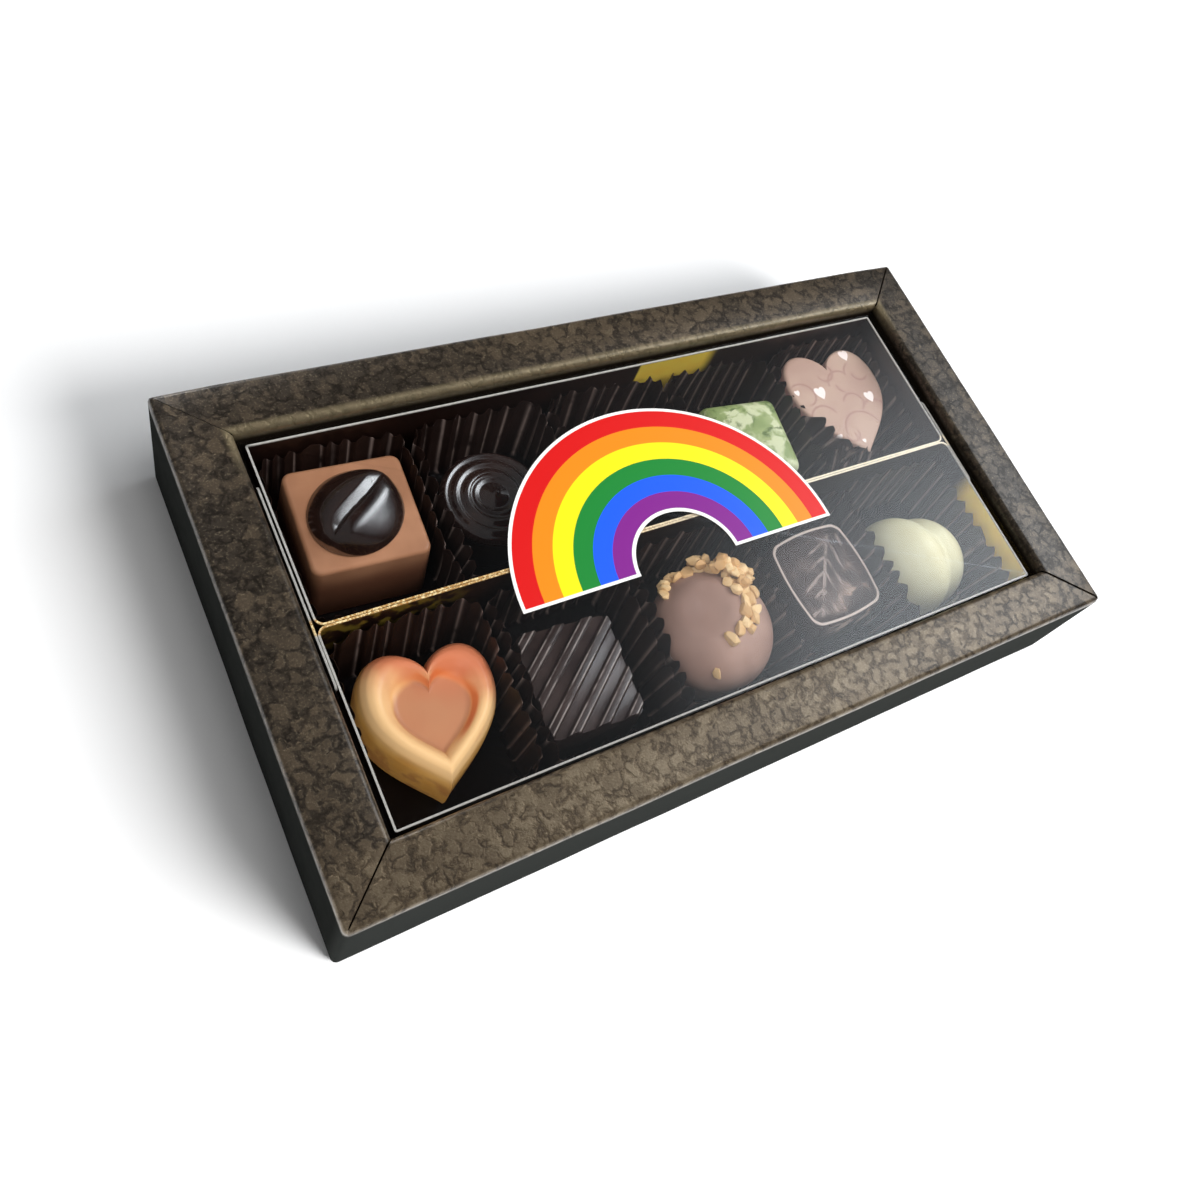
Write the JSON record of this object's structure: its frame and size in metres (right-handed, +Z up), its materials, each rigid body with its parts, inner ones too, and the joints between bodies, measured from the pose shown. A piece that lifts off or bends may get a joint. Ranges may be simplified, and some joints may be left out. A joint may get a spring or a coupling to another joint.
{
  "type": "box of pralines",
  "caption": "Flat rectangular praline gift box: folded carton tray with a wide mitred rim, clear lift-out lid with an arch sticker, gold card liners, pleated cups and assorted pralines.",
  "frame": {"origin": "under the middle of the carton's floor", "axes": "+X along the box to the right of its rows, +Y to its back edge, +Z up through the clear lid"},
  "size_m": [0.19, 0.1086, 0.03],
  "materials": {
    "board": "grained bronze-brown paperboard",
    "gold": "gold foil card",
    "paper": "dark pleated paper, slight gloss",
    "film": "clear glossy film",
    "vinyl": "printed vinyl",
    "milk": "milk chocolate, satin",
    "dark": "dark chocolate, glossy",
    "white": "white chocolate, satin",
    "green": "marbled green white chocolate, satin",
    "pink": "pink chocolate, satin",
    "caramel": "airbrushed caramel chocolate, glossy",
    "nut": "chopped roasted nuts"
  },
  "bodies": {
    "box": {"carton_tray": "board", "gold_tray_back": "gold", "gold_tray_front": "gold", "cup_back_1": "paper", "cup_back_2": "paper", "cup_back_3": "paper", "cup_back_4": "paper", "cup_back_5": "paper", "cup_front_1": "paper", "cup_front_2": "paper", "cup_front_3": "paper", "cup_front_4": "paper", "cup_front_5": "paper", "praline_coffee_block": "milk", "coffee_bean": "dark", "praline_swirl": "dark", "praline_fluted": "milk", "praline_green": "green", "praline_pink_heart": "pink", "praline_caramel_heart": "caramel", "praline_ridged": "dark", "praline_nut_dome": "milk", "nut_crust": "nut", "nut_crumb": "nut", "praline_pillow": "dark", "praline_shell": "white"},
    "lid": {"clear_lid": "film", "rainbow_sticker": "vinyl"}
  },
  "joints": [
    {"name": "lid_lift", "type": "slide", "parent": "box", "child": "lid", "axis": [0, 0, 1], "range_m": [0, 0.06]}
  ]
}
